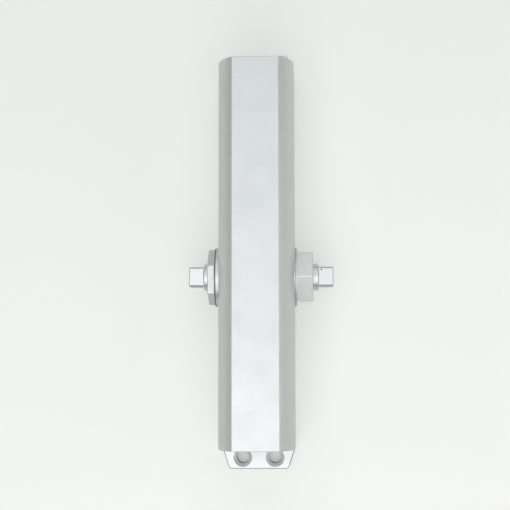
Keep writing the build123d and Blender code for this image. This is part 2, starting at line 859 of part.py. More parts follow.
nodes = {
    "housing": make_housing(),
    "spring_end_plug": make_end_plug(spring_end, spring_plug_face),
    "spring_end_o_ring": make_plug_ring(spring_end, spring_plug_face),
    "pressure_end_plug": make_end_plug(pressure_end, pressure_plug_face),
    "pressure_end_o_ring": make_plug_ring(pressure_end, pressure_plug_face),
    "pinion_shaft": make_pinion_shaft(),
    "piston": make_piston(),
    "check_ball": make_check_ball(),
    "check_ball_retainer": make_check_retainer(),
    "relief_ball": make_relief_ball(),
    "relief_seat_screw": make_relief_seat(),
    "relief_spring": make_relief_spring(),
    "return_spring": make_return_spring(),
    "spring_seat": make_spring_seat(),
    "valve_clips": make_valve_clips(),
}
for side, label in ((-1, "left"), (1, "right")):
    nodes[f"{label}_bearing_cap"] = make_bearing_cap(side)
    nodes[f"{label}_cap_gasket"] = make_gasket(side)
    nodes[f"{label}_bearing_shell"] = make_bearing_shell(side)
    nodes[f"{label}_needle_rollers"] = make_needle_rollers(side)
    nodes[f"{label}_shaft_seal"] = make_shaft_seal(side)
    nodes[f"{label}_garter_spring"] = make_garter_spring(side)
    nodes[f"{label}_thrust_washer"] = make_thrust_washer(side)
for name in valve_places:
    nodes[f"{name}_valve_screw"] = make_valve_screw(name)
    nodes[f"{name}_valve_o_ring"] = make_valve_ring(name)

os.makedirs("parts", exist_ok=True)
for name, shape in nodes.items():
    export_step(shape, f"parts/{name}.step")
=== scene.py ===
"""The looks of a rack-and-pinion hydraulic door closer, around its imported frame, in metres."""

import json
import math

import bmesh
import bpy
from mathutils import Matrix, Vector


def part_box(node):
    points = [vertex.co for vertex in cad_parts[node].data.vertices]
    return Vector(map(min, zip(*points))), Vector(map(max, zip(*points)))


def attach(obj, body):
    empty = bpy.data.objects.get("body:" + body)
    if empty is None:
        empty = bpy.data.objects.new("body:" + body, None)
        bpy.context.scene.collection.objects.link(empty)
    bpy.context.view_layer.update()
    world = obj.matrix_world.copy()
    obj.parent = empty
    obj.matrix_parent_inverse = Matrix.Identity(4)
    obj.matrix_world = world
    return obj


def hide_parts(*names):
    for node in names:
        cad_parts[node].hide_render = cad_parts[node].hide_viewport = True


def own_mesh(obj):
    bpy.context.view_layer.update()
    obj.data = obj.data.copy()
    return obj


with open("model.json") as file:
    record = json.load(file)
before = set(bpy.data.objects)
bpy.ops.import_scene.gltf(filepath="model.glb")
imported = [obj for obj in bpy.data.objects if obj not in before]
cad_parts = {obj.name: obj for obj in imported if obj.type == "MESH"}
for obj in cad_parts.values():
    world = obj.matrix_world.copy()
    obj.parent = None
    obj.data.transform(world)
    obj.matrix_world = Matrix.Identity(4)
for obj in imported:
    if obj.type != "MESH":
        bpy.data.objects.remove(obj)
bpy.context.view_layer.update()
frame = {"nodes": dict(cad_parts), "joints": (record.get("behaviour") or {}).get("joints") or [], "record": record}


# The housing is one die casting in aluminium, with a flange at each end and a round boss on each side.
# It is blasted and sprayed with a fine silver metallic coat. Its colour has painted shade along the flanges' top
# edges and painted light on their tops and in the screw seats.
# Drilling the bores and the screw holes afterwards bares the duller metal in them. In the screw holes that
# metal is also painted dark, as shade on their walls.
mounts = {mount["name"]: mount for mount in frame["record"]["mounts"]}
joints = {joint["name"]: joint for joint in frame["joints"]}
SPINDLE_HEIGHT = joints["pinion_turn"]["pos_m"][2]
valve_place = joints["latch_valve_turn"]["pos_m"]
screw_holes = mounts["fixing_holes"]
mid_length = screw_holes["pos_m"][1]
screw_across = screw_holes["dims"]["spacing_x_mm"] / 2000
screw_along = screw_holes["dims"]["spacing_y_mm"] / 2000
screw_hole_radius = screw_holes["dims"]["hole_r_mm"] / 1000
BODY_LENGTH = 0.220
FLANGE_THICKNESS = 0.009
SEAT_RADIUS = 0.0055
SEAT_DEPTH = 0.002
BORE_RADIUS = 0.018
VALVE_BORE_RADIUS = 0.004
# The width of the band of painted shade along the flanges' top edges.
EDGE_SHADE_BAND = 0.001
HAIR = 0.00003
SILVER = (0.94, 0.95, 0.955)
# The tone of that painted shade, and the share of painted light on the flanges' tops and in the screw seats.
EDGE_SHADE_TONE = 0.5
PAINTED_LIGHT_SHARE = 0.55
SEAT_METALLIC = 0.1
FLAKES_ACROSS_CLUSTER = 1.7
FLAKE_SHARE = 0.45
NOISE_LOW = 0.3
NOISE_HIGH = 0.7


def feed(tree, value, socket):
    """Puts a number, a colour or another node's output into a socket."""
    if isinstance(value, bpy.types.NodeSocket):
        tree.links.new(value, socket)
    elif socket.type == "RGBA" and len(value) == 3:
        socket.default_value = (*value, 1)
    else:
        socket.default_value = value


def node(tree, kind, **settings):
    """A node. Names with capital letters are its inputs, with _ for a space. The others are settings."""
    made = tree.nodes.new(kind)
    for name, value in settings.items():
        if name[0].islower():
            setattr(made, name, value)
    for name, value in settings.items():
        if name[0].isupper():
            feed(tree, value, made.inputs[name.replace("_", " ")])
    return made


def math_node(tree, operation, *values):
    made = node(tree, "ShaderNodeMath", operation=operation)
    for socket, value in zip(made.inputs, values):
        feed(tree, value, socket)
    return made.outputs[0]


def mix(tree, kind, factor, first, second):
    """Goes from first to second as factor goes from 0 to 1. The kind is RGBA or FLOAT."""
    return node(tree, "ShaderNodeMix", data_type=kind, Factor=factor, A=first, B=second).outputs["Result"]


def stretch(tree, value, low, high):
    """The value with low moved to 0 and high to 1."""
    return node(tree, "ShaderNodeMapRange", Value=value, From_Min=low, From_Max=high).outputs[0]


def new_tree(name, kind, inputs, outputs):
    """An empty node group with named sockets, and those sockets as the nodes inside it see them."""
    tree = bpy.data.node_groups.new(name, kind)
    for way, sockets in (("INPUT", inputs), ("OUTPUT", outputs)):
        for label, value in sockets.items():
            tree.interface.new_socket(label, in_out=way, socket_type="NodeSocket" + value)
    return tree, tree.nodes.new("NodeGroupInput").outputs, tree.nodes.new("NodeGroupOutput").inputs


def grouped(tree, group, **inputs):
    return node(tree, "ShaderNodeGroup", node_tree=group, **inputs).outputs


def speckle_group():
    """The mottling of a metallic coat: single flakes, their clusters, and a slow unevenness of the film."""
    inputs = {"Vector": "Vector", "Flake Size": "Float"}
    outputs = {"Tone": "Float", "Film": "Float", "Height": "Float"}
    tree, into, out = new_tree("coat_speckle", "ShaderNodeTree", inputs, outputs)
    place = into["Vector"]
    per_metre = math_node(tree, "DIVIDE", 1.0, into["Flake Size"])
    flake_scale = math_node(tree, "MULTIPLY", per_metre, FLAKES_ACROSS_CLUSTER)
    cluster = node(tree, "ShaderNodeTexNoise", Vector=place, Scale=per_metre, Detail=2.0, Roughness=0.6)
    flake = node(tree, "ShaderNodeTexVoronoi", Vector=place, Scale=flake_scale)
    film = node(tree, "ShaderNodeTexNoise", Vector=place, Scale=60.0, Detail=3.0)
    brightness = node(tree, "ShaderNodeRGBToBW", Color=flake.outputs["Color"]).outputs[0]
    clusters = stretch(tree, cluster.outputs["Fac"], NOISE_LOW, NOISE_HIGH)
    feed(tree, mix(tree, "FLOAT", FLAKE_SHARE, clusters, brightness), out["Tone"])
    feed(tree, stretch(tree, film.outputs["Fac"], NOISE_LOW, NOISE_HIGH), out["Film"])
    feed(tree, cluster.outputs["Fac"], out["Height"])
    return tree


def turned_group():
    """Tool marks of a lathe: fine uneven lines that repeat along one coordinate."""
    inputs = {"Along": "Float", "Line Width": "Float"}
    outputs = {"Tone": "Float", "Height": "Float"}
    tree, into, out = new_tree("turned_lines", "ShaderNodeTree", inputs, outputs)
    count = math_node(tree, "DIVIDE", into["Along"], into["Line Width"])
    lines = node(tree, "ShaderNodeTexNoise", noise_dimensions="1D", W=count, Scale=1.0, Detail=3.0,
                 Roughness=0.7).outputs["Fac"]
    feed(tree, stretch(tree, lines, low=0.25, high=0.75), out["Tone"])
    feed(tree, lines, out["Height"])
    return tree


coat_speckle = speckle_group()
turned_lines = turned_group()


def opened(material):
    """A material's tree, its shader's inputs and the place on the piece, which patterns read."""
    tree = material.node_tree
    return tree, tree.nodes["Principled BSDF"].inputs, node(tree, "ShaderNodeTexCoord").outputs["Object"]


def surface(name, metallic):
    """A new material, with what opened gives for it."""
    material = bpy.data.materials.new(name)
    material.use_nodes = True
    tree, shader, place = opened(material)
    shader["Metallic"].default_value = metallic
    return material, tree, shader, place


def shade(tree, shader, tone, light, dark, height, relief):
    """Colour and fine relief that follow a pattern."""
    feed(tree, mix(tree, "RGBA", tone, dark, light), shader["Base Color"])
    feed(tree, node(tree, "ShaderNodeBump", Distance=relief, Height=height).outputs[0], shader["Normal"])


def roughen(tree, shader, pattern, roughness, reach):
    """Roughness that a pattern's dark parts raise and its light parts lower, each by the reach."""
    feed(tree, mix(tree, "FLOAT", pattern, roughness + reach, roughness - reach), shader["Roughness"])


def overlay(tree, mask, value, socket):
    """Puts a value over what a shader's input already has, as far as a mask says."""
    before = socket.links[0].from_socket if socket.is_linked else socket.default_value
    kind = "RGBA" if socket.type == "RGBA" else "FLOAT"
    feed(tree, mix(tree, kind, mask, before, value), socket)


def coat(name, light, dark, roughness, flake, metallic=0.85):
    """A sprayed coat, with flakes of one size and a film that is duller where it lies thin."""
    material, tree, shader, place = surface(name, metallic)
    speckle = grouped(tree, coat_speckle, Vector=place, Flake_Size=flake)
    shade(tree, shader, speckle["Tone"], light, dark, speckle["Height"], relief=0.00002)
    roughen(tree, shader, speckle["Film"], roughness, reach=0.04)
    return material


def distance(tree, *sides):
    """The distance to a point, from how far it lies along each of two directions."""
    squares = [math_node(tree, "MULTIPLY", side, side) for side in sides]
    return math_node(tree, "SQRT", math_node(tree, "ADD", *squares))


def within(tree, radius, *places):
    """1 inside a circle and 0 outside it. Each place is a coordinate and the circle's centre on it."""
    sides = [math_node(tree, "SUBTRACT", coordinate, centre) for coordinate, centre in places]
    return math_node(tree, "LESS_THAN", distance(tree, *sides), radius + HAIR)


def between(tree, value, low, high):
    """1 from a hair past low to a hair short of high, and 0 outside."""
    return math_node(tree, "COMPARE", value, (low + high) / 2, (high - low) / 2 - HAIR)


def both(tree, first, second):
    return math_node(tree, "MULTIPLY", first, second)


def either(tree, first, second):
    return math_node(tree, "MAXIMUM", first, second)


def from_middle(tree, x, y):
    """How far a point lies from the housing's middle, across it and along it."""
    along = math_node(tree, "ABSOLUTE", math_node(tree, "SUBTRACT", y, mid_length))
    return math_node(tree, "ABSOLUTE", x), along


def vary_coat(material):
    """Paints shade on the coat along the flanges' top edges, where it is made darker, and paints light on their
    tops and in the screw seats, where it is made even and lighter. In the seats it is also less metallic."""
    tree, shader, place = opened(material)
    x, y, z = node(tree, "ShaderNodeSeparateXYZ", Vector=place).outputs
    across, along = from_middle(tree, x, y)
    flange = math_node(tree, "GREATER_THAN", along, BODY_LENGTH / 2 + HAIR)
    seat = within(tree, SEAT_RADIUS, (across, screw_across), (along, screw_along))
    outside = both(tree, flange, math_node(tree, "SUBTRACT", 1.0, seat))
    rim = both(tree, outside, between(tree, z, FLANGE_THICKNESS - EDGE_SHADE_BAND, FLANGE_THICKNESS))
    cone = both(tree, seat, between(tree, z, FLANGE_THICKNESS - SEAT_DEPTH, FLANGE_THICKNESS))
    top = both(tree, flange, math_node(tree, "COMPARE", z, FLANGE_THICKNESS, HAIR))
    # Painted shade: the coat's colour at a lower tone, put along the flanges' top edges below.
    thin = node(tree, "ShaderNodeVectorMath", operation="SCALE", Scale=EDGE_SHADE_TONE)
    feed(tree, shader["Base Color"].links[0].from_socket, thin.inputs[0])
    overlay(tree, rim, thin.outputs[0], shader["Base Color"])
    # Painted light: the flange tops and the screw seats are mixed towards plain light silver.
    painted_light_on_tops = math_node(tree, "MULTIPLY", either(tree, top, cone), PAINTED_LIGHT_SHARE)
    overlay(tree, painted_light_on_tops, SILVER, shader["Base Color"])
    overlay(tree, cone, SEAT_METALLIC, shader["Metallic"])


def cut_bores(material):
    """Bares the metal in the piston bore, the valve bores and the screw holes under their countersinks. In the
    screw holes the bare metal also stands as painted shade on their walls.
    """
    tree, shader, place = opened(material)
    x, y, z = node(tree, "ShaderNodeSeparateXYZ", Vector=place).outputs
    across, along = from_middle(tree, x, y)
    bore = within(tree, BORE_RADIUS, (x, 0.0), (z, SPINDLE_HEIGHT))
    valve_line = within(tree, VALVE_BORE_RADIUS, (across, valve_place[0]), (z, valve_place[2]))
    valve = both(tree, valve_line, math_node(tree, "LESS_THAN", y, 0.0))
    screw_hole = within(tree, screw_hole_radius, (across, screw_across), (along, screw_along))
    drilled = both(tree, screw_hole, math_node(tree, "LESS_THAN", z, FLANGE_THICKNESS - SEAT_DEPTH))
    bared = either(tree, drilled, either(tree, bore, valve))
    lines = grouped(tree, turned_lines, Along=mix(tree, "FLOAT", drilled, y, z), Line_Width=0.0002)
    bored_metal = mix(tree, "RGBA", lines["Tone"], (0.50, 0.515, 0.51), (0.60, 0.615, 0.61))
    # The screw holes' bare metal is darker, partly as painted shade on their walls.
    drilled_metal_and_shade = mix(tree, "RGBA", lines["Tone"], (0.46, 0.49, 0.48), (0.56, 0.59, 0.58))
    overlay(tree, bared, mix(tree, "RGBA", drilled, bored_metal, drilled_metal_and_shade), shader["Base Color"])
    overlay(tree, bared, 1.0, shader["Metallic"])


def cover(mesh, material):
    """Gives a whole mesh one material."""
    mesh.materials.clear()
    mesh.materials.append(material)
    mesh.polygons.foreach_set("material_index", [0] * len(mesh.polygons))


def wear(material, *nodes):
    """Gives CAD nodes one material in place of their packed ones."""
    for name in nodes:
        cover(frame["nodes"][name].data, material)


silver_coat = coat("silver_metallic_coat", SILVER, dark=(0.70, 0.71, 0.715), roughness=0.42, flake=0.0006)
vary_coat(silver_coat)
cut_bores(silver_coat)
wear(silver_coat, "housing")


# The die leaves a row of round ejector marks on the floor of each of the two pockets in the housing's back.
# They stand a little proud and lie under the coat.
POCKET_DEPTH = 0.0015
EJECTOR_PROUD = 0.00015
EJECTOR_SUNK = 0.00001
EJECTOR_FOOT = 0.94


def close_tree(tree, geometry, into, out):
    """Ends a tree in Realize Instances and Set Material."""
    realized = node(tree, "GeometryNodeRealizeInstances", Geometry=geometry).outputs[0]
    painted = node(tree, "GeometryNodeSetMaterial", Geometry=realized, Material=into["Material"]).outputs[0]
    feed(tree, painted, out["Geometry"])


def grow(name, tree, **values):
    """A mesh object with what the tree makes from the values. Names have _ for a space."""
    seed = bpy.data.objects.new(name + "_seed", bpy.data.meshes.new(name + "_seed"))
    bpy.context.collection.objects.link(seed)
    modifier = seed.modifiers.new("grow", "NODES")
    modifier.node_group = tree
    sockets = {item.name: item.identifier for item in tree.interface.items_tree if item.in_out == "INPUT"}
    for label, value in values.items():
        modifier[sockets[label.replace("_", " ")]] = value
    grown = bpy.data.meshes.new_from_object(seed.evaluated_get(bpy.context.evaluated_depsgraph_get()))
    bpy.data.objects.remove(seed)
    cover(grown, values["Material"])
    grown.name = name
    piece = bpy.data.objects.new(name, grown)
    bpy.context.collection.objects.link(piece)
    return piece


def ejector_tree():
    """Flat-topped discs at the points of a grid, hanging from a floor that faces down."""
    inputs = {"Radius": "Float", "Proud": "Float", "Across": "Float", "Along": "Float", "Rows": "Int",
              "Middle": "Vector", "Material": "Material"}
    tree, into, out = new_tree("ejector_marks", "GeometryNodeTree", inputs, {"Geometry": "Geometry"})
    grid = node(tree, "GeometryNodeMeshGrid", Size_X=into["Across"], Size_Y=into["Along"], Vertices_X=2,
                Vertices_Y=into["Rows"]).outputs["Mesh"]
    placed = node(tree, "GeometryNodeTransform", Geometry=grid, Translation=into["Middle"]).outputs[0]
    foot = math_node(tree, "MULTIPLY", into["Radius"], EJECTOR_FOOT)
    disc = node(tree, "GeometryNodeMeshCone", Vertices=40, Radius_Bottom=foot, Radius_Top=into["Radius"],
                Depth=into["Proud"]).outputs["Mesh"]
    discs = node(tree, "GeometryNodeInstanceOnPoints", Points=placed, Instance=disc).outputs[0]
    close_tree(tree, discs, into, out)
    return tree


ejector_marks = grow("ejector_marks", ejector_tree(), Radius=0.0026, Proud=EJECTOR_PROUD, Across=0.022,
                     Along=0.175, Rows=6, Middle=(0, 0.0075, POCKET_DEPTH - EJECTOR_PROUD + EJECTOR_SUNK),
                     Material=silver_coat)
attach(ejector_marks, "housing")


# Each end of the bore is closed by a steel plug. It is turned, threaded and screwed in with a hexagon key.
# A nitrile ring in a groove near its inner face keeps the oil in.
RUBBED_ROUGHNESS = 0.24
RUBBER_SHADE = 0.7


def wear_group():
    """Edges rubbed bright: 1 past a radius and 0 within it, broken up by small scuffs."""
    inputs = {"Vector": "Vector", "Radius": "Float", "Edge Radius": "Float", "Fade": "Float"}
    tree, into, out = new_tree("rubbed_edges", "ShaderNodeTree", inputs, {"Mask": "Float"})
    scuffs = node(tree, "ShaderNodeTexNoise", Vector=into["Vector"], Scale=900.0, Detail=2.0).outputs["Fac"]
    shifted = math_node(tree, "ADD", into["Radius"], math_node(tree, "MULTIPLY", scuffs, into["Fade"]))
    start = math_node(tree, "ADD", into["Edge Radius"], into["Fade"])
    feed(tree, stretch(tree, shifted, into["Edge Radius"], start), out["Mask"])
    return tree


rubbed_edges = wear_group()


def about_axis(tree, place, axis, centre):
    """How far along an axis a point lies, and how far out from it."""
    centred = node(tree, "ShaderNodeVectorMath", operation="SUBTRACT")
    centred.inputs[1].default_value = centre
    feed(tree, place, centred.inputs[0])
    parts = node(tree, "ShaderNodeSeparateXYZ", Vector=centred.outputs[0]).outputs
    return parts[axis], distance(tree, *[parts[other] for other in "XYZ" if other != axis])


def rub(material, axis, centre, edge_radius, colour, fade):
    """Rubs a material's edges bright past a radius from an axis."""
    tree, shader, place = opened(material)
    radius = about_axis(tree, place, axis, centre)[1]
    rubbed = grouped(tree, rubbed_edges, Vector=place, Radius=radius, Edge_Radius=edge_radius, Fade=fade)
    overlay(tree, rubbed["Mask"], colour, shader["Base Color"])
    overlay(tree, rubbed["Mask"], RUBBED_ROUGHNESS, shader["Roughness"])


def turned_metal(name, light, dark, axis, centre, roughness=0.3, line=0.00015):
    """A turned surface. Its lines run round an axis, on the cylinders as on the faces across it."""
    material, tree, shader, place = surface(name, 1.0)
    along, radius = about_axis(tree, place, axis, centre)
    lines = grouped(tree, turned_lines, Along=math_node(tree, "ADD", along, radius), Line_Width=line)
    shade(tree, shader, lines["Tone"], light, dark, lines["Height"], relief=0.000004)
    roughen(tree, shader, lines["Tone"], roughness, reach=0.06)
    return material


spindle_centre = (0, 0, SPINDLE_HEIGHT)
plug_steel = turned_metal("turned_plug_steel", (0.70, 0.71, 0.72), (0.55, 0.56, 0.57), "Y", spindle_centre)
rub(plug_steel, "Y", spindle_centre, edge_radius=0.0172, colour=(0.85, 0.86, 0.87), fade=0.0004)
wear(plug_steel, "spring_end_plug", "pressure_end_plug")


def rubber(name, colour):
    material, tree, shader, place = surface(name, 0.0)
    speckle = grouped(tree, coat_speckle, Vector=place, Flake_Size=0.0003)
    dark = [RUBBER_SHADE * part for part in colour]
    shade(tree, shader, speckle["Tone"], colour, dark, speckle["Height"], relief=0.00001)
    roughen(tree, shader, speckle["Film"], roughness=0.60, reach=0.08)
    return material


nitrile = rubber("nitrile_rubber", (0.035, 0.035, 0.04))
wear(nitrile, "spring_end_o_ring", "pressure_end_o_ring")


# The piston is a grey iron bar, bored and slotted. The rack is cut in its window and its outside is honed.
# Its head holds a ball valve behind a pressed ring and an overpressure valve behind a slotted screw.
piston_iron = turned_metal("honed_iron", (0.42, 0.42, 0.43), (0.28, 0.28, 0.29), "Y", spindle_centre,
                           roughness=0.35, line=0.0004)
wear(piston_iron, "piston")
small_steel = turned_metal("turned_small_steel", (0.68, 0.69, 0.70), (0.50, 0.51, 0.52), "Y",
                           spindle_centre)
wear(small_steel, "check_ball_retainer", "relief_seat_screw", "spring_seat")
bearing_steel = turned_metal("ground_bearing_steel", (0.80, 0.81, 0.82), (0.66, 0.67, 0.68), "X",
                             spindle_centre, roughness=0.16)
wear(bearing_steel, "check_ball", "relief_ball")


# The return spring is wound from oil-tempered wire, with a closed turn at each end that is ground flat.
# It pushes the piston back from a hardened washer on the plug. In the closer it shortens as the piston comes
# towards it; here it is wound at one length and rides the housing.
# The small spring behind the overpressure ball is wound the same way.
WIRE_RADIUS = 0.00225
CLOSED_GAP = 0.0005
STEPS_IN_TURN = 48.0
END_INSET_SHARE = 0.6


def spring_tree():
    """A wire wound about a line along Y, with one closed turn at each end. Both its ends are cut flat."""
    inputs = {"Coil Radius": "Float", "Wire Radius": "Float", "Turns": "Float", "Closed Pitch": "Float",
              "Length": "Float", "Start": "Vector", "Material": "Material"}
    tree, into, out = new_tree("wound_spring", "GeometryNodeTree", inputs, {"Geometry": "Geometry"})
    steps = math_node(tree, "MULTIPLY", into["Turns"], STEPS_IN_TURN)
    line = node(tree, "GeometryNodeCurvePrimitiveLine").outputs[0]
    line = node(tree, "GeometryNodeResampleCurve", Curve=line, Count=steps).outputs[0]
    share = node(tree, "GeometryNodeSplineParameter").outputs["Factor"]
    turn = math_node(tree, "MULTIPLY", share, into["Turns"])
    past_last = math_node(tree, "SUBTRACT", turn, math_node(tree, "SUBTRACT", into["Turns"], 1.0))
    in_start = math_node(tree, "MINIMUM", turn, 1.0)
    closed = math_node(tree, "ADD", in_start, math_node(tree, "MAXIMUM", past_last, 0.0))
    inset = math_node(tree, "MULTIPLY", into["Wire Radius"], END_INSET_SHARE)
    end_length = math_node(tree, "ADD", inset, into["Closed Pitch"])
    open_length = math_node(tree, "SUBTRACT", into["Length"], math_node(tree, "MULTIPLY", end_length, 2.0))
    pitch = math_node(tree, "DIVIDE", open_length, math_node(tree, "SUBTRACT", into["Turns"], 2.0))
    closed_rise = math_node(tree, "MULTIPLY", closed, into["Closed Pitch"])
    open_rise = math_node(tree, "MULTIPLY", math_node(tree, "SUBTRACT", turn, closed), pitch)
    rise = math_node(tree, "ADD", inset, math_node(tree, "ADD", closed_rise, open_rise))
    angle = math_node(tree, "MULTIPLY", turn, 2 * math.pi)
    across = math_node(tree, "MULTIPLY", math_node(tree, "COSINE", angle), into["Coil Radius"])
    up = math_node(tree, "MULTIPLY", math_node(tree, "SINE", angle), into["Coil Radius"])
    place = node(tree, "ShaderNodeCombineXYZ", X=across, Y=rise, Z=up).outputs[0]
    helix = node(tree, "GeometryNodeSetPosition", Geometry=line, Position=place).outputs[0]
    section = node(tree, "GeometryNodeCurvePrimitiveCircle", Resolution=24,
                   Radius=into["Wire Radius"]).outputs[0]
    wire = node(tree, "GeometryNodeCurveToMesh", Curve=helix, Profile_Curve=section,
                Fill_Caps=True).outputs[0]
    wound = node(tree, "GeometryNodeInputPosition").outputs[0]
    x, y, z = node(tree, "ShaderNodeSeparateXYZ", Vector=wound).outputs
    cut_y = math_node(tree, "MAXIMUM", 0.0, math_node(tree, "MINIMUM", y, into["Length"]))
    cut_place = node(tree, "ShaderNodeCombineXYZ", X=x, Y=cut_y, Z=z).outputs[0]
    cut = node(tree, "GeometryNodeSetPosition", Geometry=wire, Position=cut_place).outputs[0]
    placed = node(tree, "GeometryNodeTransform", Geometry=cut, Translation=into["Start"]).outputs[0]
    close_tree(tree, placed, into, out)
    return tree


spring_steel = coat("oil_tempered_wire", (0.34, 0.35, 0.37), (0.20, 0.21, 0.23), roughness=0.36,
                    flake=0.0008)
wear(spring_steel, "relief_spring")
spring_low, spring_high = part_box("return_spring")
spring_length = spring_high[1] - spring_low[1]
return_coil = grow("return_spring_coil", spring_tree(), Coil_Radius=spring_high[0] - WIRE_RADIUS,
                   Wire_Radius=WIRE_RADIUS, Turns=8.0, Closed_Pitch=2 * WIRE_RADIUS + CLOSED_GAP,
                   Length=spring_length, Start=(0, spring_low[1], SPINDLE_HEIGHT), Material=spring_steel)
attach(return_coil, "housing")
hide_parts("return_spring")
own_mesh(return_coil)


# The spindle and its pinion are one piece of alloy steel, turned, milled square at both ends and plated.
# The plating is bright but not polished, and the lathe's lines show through it.
shaft_steel = turned_metal("plated_shaft_steel", (0.86, 0.87, 0.88), (0.74, 0.75, 0.76), "X",
                           spindle_centre, roughness=0.36)
wear(shaft_steel, "pinion_shaft")


# Each end of the spindle is bored and cut with a fine right-hand thread for the screw that holds the arm.
# The thread runs out into the wall at both ends.
THREAD_INSET = 0.00045
ROOT_SUNK = 0.00004
ROOT_SHARE = 0.46
CREST_SHARE = 0.07
RUN_OUT_SHARE = 0.0625
RUN_OUT_SIZE = 0.02


def thread_tree():
    """A ridge on a helix along X that stands inwards from the wall of a hole and fades out at both ends."""
    inputs = {"Wall Radius": "Float", "Ridge": "Float", "Pitch": "Float", "Turns": "Float",
              "Mouth": "Vector", "Turned About": "Rotation", "Material": "Material"}
    tree, into, out = new_tree("screw_thread", "GeometryNodeTree", inputs, {"Geometry": "Geometry"})
    height = math_node(tree, "MULTIPLY", into["Pitch"], into["Turns"])
    helix = node(tree, "GeometryNodeCurveSpiral", Resolution=40, Rotations=into["Turns"], Reverse=True,
                 Start_Radius=into["Wall Radius"], End_Radius=into["Wall Radius"], Height=height).outputs[0]
    upright = node(tree, "GeometryNodeSetCurveNormal", mode="Z_UP", Curve=helix).outputs[0]
    share = node(tree, "GeometryNodeSplineParameter").outputs["Factor"]
    from_end = math_node(tree, "MINIMUM", share, math_node(tree, "SUBTRACT", 1.0, share))
    risen = math_node(tree, "ADD", RUN_OUT_SIZE, math_node(tree, "DIVIDE", from_end, RUN_OUT_SHARE))
    size = math_node(tree, "MINIMUM", 1.0, risen)
    faded = node(tree, "GeometryNodeSetCurveRadius", Curve=upright, Radius=size).outputs[0]
    inwards = math_node(tree, "MULTIPLY", into["Ridge"], -1.0)
    section = node(tree, "GeometryNodeCurvePrimitiveQuadrilateral", mode="POINTS")
    corners = ((ROOT_SUNK, ROOT_SHARE), (inwards, CREST_SHARE), (inwards, -CREST_SHARE),
               (ROOT_SUNK, -ROOT_SHARE))
    for number, (outwards, share_of_pitch) in enumerate(corners, 1):
        along = math_node(tree, "MULTIPLY", into["Pitch"], share_of_pitch)
        corner = node(tree, "ShaderNodeCombineXYZ", X=outwards, Y=along).outputs[0]
        feed(tree, corner, section.inputs[f"Point {number}"])
    ridge = node(tree, "GeometryNodeCurveToMesh", Curve=faded, Profile_Curve=section.outputs[0],
                 Fill_Caps=True).outputs[0]
    placed = node(tree, "GeometryNodeTransform", Geometry=ridge, Translation=into["Mouth"],
                  Rotation=into["Turned About"]).outputs[0]
    close_tree(tree, placed, into, out)
    return tree


screw_thread = thread_tree()
for side, outwards in (("left", -1), ("right", 1)):
    hole = mounts[side + "_arm_screw_hole"]
    mouth = (hole["pos_m"][0] - outwards * THREAD_INSET, 0, SPINDLE_HEIGHT)
    arm_screw_thread = grow(side + "_arm_screw_thread", screw_thread,
                            Wall_Radius=hole["dims"]["r_mm"] / 1000, Ridge=0.00042, Pitch=0.0008,
                            Turns=15.0, Mouth=mouth, Turned_About=(0, -outwards * math.radians(90), 0),
                            Material=shaft_steel)
    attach(arm_screw_thread, "pinion_shaft")


# A punched dot on the right square shows which way the arm goes on. It is filled with a drop of dark paint.
# The paint follows the dot's cone down and stands a little proud of the flat.
MARK_RINGS = ((0.00010, -0.00030), (0.00042, -0.00002), (0.00038, 0.00002), (0.00022, 0.00004))
MARK_SIDES = 20
MARK_FROM_END = 0.0069
MARK_FROM_MIDDLE = 0.00402
SQUARE_FLATS = 0.0114
square_end = mounts["right_square"]["pos_m"][0]
mark_place = Vector((square_end - MARK_FROM_END, MARK_FROM_MIDDLE, SPINDLE_HEIGHT + SQUARE_FLATS / 2))
angles = [2 * math.pi * step / MARK_SIDES for step in range(MARK_SIDES)]
index_mark = bpy.data.meshes.new("index_mark")
shape = bmesh.new()
rings = []
for ring_radius, ring_height in MARK_RINGS:
    corners = [Vector((ring_radius * math.cos(a), ring_radius * math.sin(a), ring_height)) for a in angles]
    rings.append([shape.verts.new(mark_place + corner) for corner in corners])
for lower, upper in zip(rings, rings[1:]):
    for step in range(MARK_SIDES):
        following = (step + 1) % MARK_SIDES
        shape.faces.new((lower[step], lower[following], upper[following], upper[step]))
shape.faces.new(rings[-1])
shape.faces.new(list(reversed(rings[0])))
shape.to_mesh(index_mark)
shape.free()
index_mark.materials.append(rubber("dark_marking_paint", (0.10, 0.11, 0.14)))
index_mark_piece = bpy.data.objects.new("index_mark", index_mark)
bpy.context.collection.objects.link(index_mark_piece)
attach(index_mark_piece, "pinion_shaft")


# Each side has a needle bearing with a drawn shell, a hardened washer beside the pinion, and a lip seal.
# A garter spring holds the seal's lip to the journal.
for side in ("left", "right"):
    wear(bearing_steel, side + "_bearing_shell", side + "_needle_rollers")
    wear(small_steel, side + "_thrust_washer")
    wear(nitrile, side + "_shaft_seal")
    wear(spring_steel, side + "_garter_spring")


# A hexagon cap screws into each side over a thin fibre gasket: a low one on the left, a high one on the
# right. Both are steel and sprayed silver like the housing, and their coats are painted apart: the left one
# darker as painted shade, the right one lighter as painted light. The right one is sprayed in place, so that
# its gasket's rim is grey, and that grey also stands as painted light.
# Painted shade on the left cap's coat and painted light on the right one's.
for side, light, dark in (("left", (0.90, 0.91, 0.915), (0.69, 0.70, 0.705)),
                          ("right", (0.99, 0.995, 1.0), (0.79, 0.80, 0.805))):
    cap_coat_painted_light_and_shade = coat(side + "_cap_coat_painted_light_and_shade", light, dark, roughness=0.48, flake=0.00065)
    wear(cap_coat_painted_light_and_shade, side + "_bearing_cap")
gasket_black = rubber("gasket_fibre", (0.15, 0.15, 0.15))
wear(gasket_black, "left_cap_gasket")
